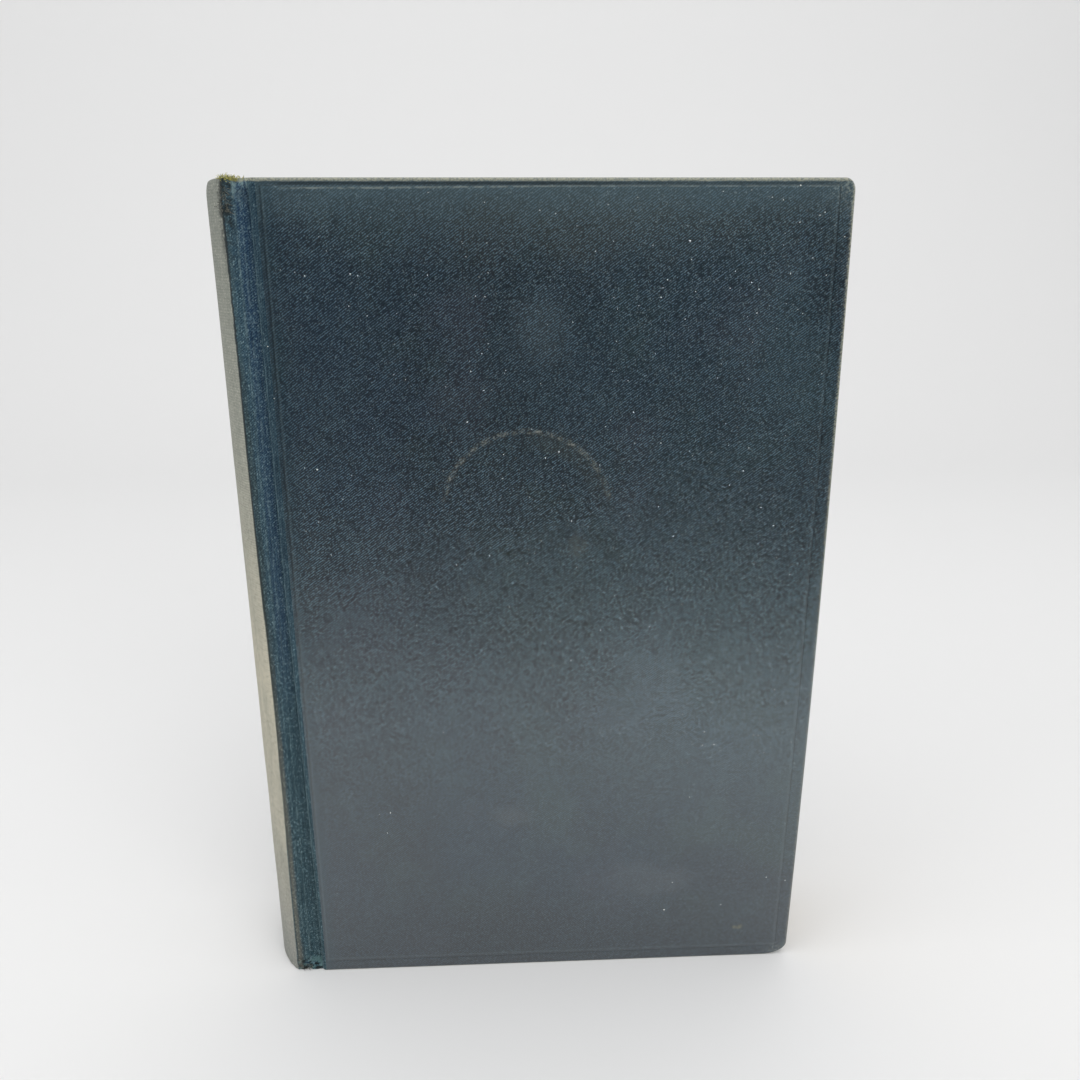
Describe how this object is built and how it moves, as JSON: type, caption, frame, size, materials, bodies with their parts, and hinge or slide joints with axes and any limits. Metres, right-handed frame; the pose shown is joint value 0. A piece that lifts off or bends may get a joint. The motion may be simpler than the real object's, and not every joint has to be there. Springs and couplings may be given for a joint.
{
  "type": "hardback book",
  "caption": "Hardback book standing on its tail, with a rounded spine, worn dark blue cloth over boards, and front and rear covers that open on cloth joints.",
  "frame": {"origin": "centre of the bounding box at the tail edges the book stands on", "axes": "+Z from tail to head, -Y out of the front cover, +X towards the fore-edge, so the spine faces -X"},
  "size_m": [0.1376, 0.031, 0.197],
  "materials": {
    "pages": "matte",
    "endpaper": "matte",
    "lining_paper": "matte",
    "gauze": "matte",
    "band_cloth": "matte",
    "card": "matte",
    "board": "matte",
    "cover_cloth": "matte",
    "spine_cloth": "matte"
  },
  "bodies": {
    "pages": {"text_block": "pages", "spine_gauze": "gauze", "spine_lining": "lining_paper", "head_band": "band_cloth", "tail_band": "band_cloth", "front_free_endpaper": "endpaper", "rear_free_endpaper": "endpaper", "spine_inlay": "card", "spine_cloth": "spine_cloth"},
    "front_cover": {"front_board": "board", "front_cover_cloth": "cover_cloth", "front_gauze_flap": "gauze", "front_pastedown": "endpaper"},
    "rear_cover": {"rear_board": "board", "rear_cover_cloth": "cover_cloth", "rear_gauze_flap": "gauze", "rear_pastedown": "endpaper"}
  },
  "joints": [
    {"name": "front_hinge", "type": "hinge", "parent": "pages", "child": "front_cover", "pos_m": [-0.05685, -0.01565, 0.0985], "axis": [0, 0, -1], "range_deg": [0, 178]},
    {"name": "rear_hinge", "type": "hinge", "parent": "pages", "child": "rear_cover", "pos_m": [-0.05685, 0.01565, 0.0985], "axis": [0, 0, 1], "range_deg": [0, 178]}
  ]
}
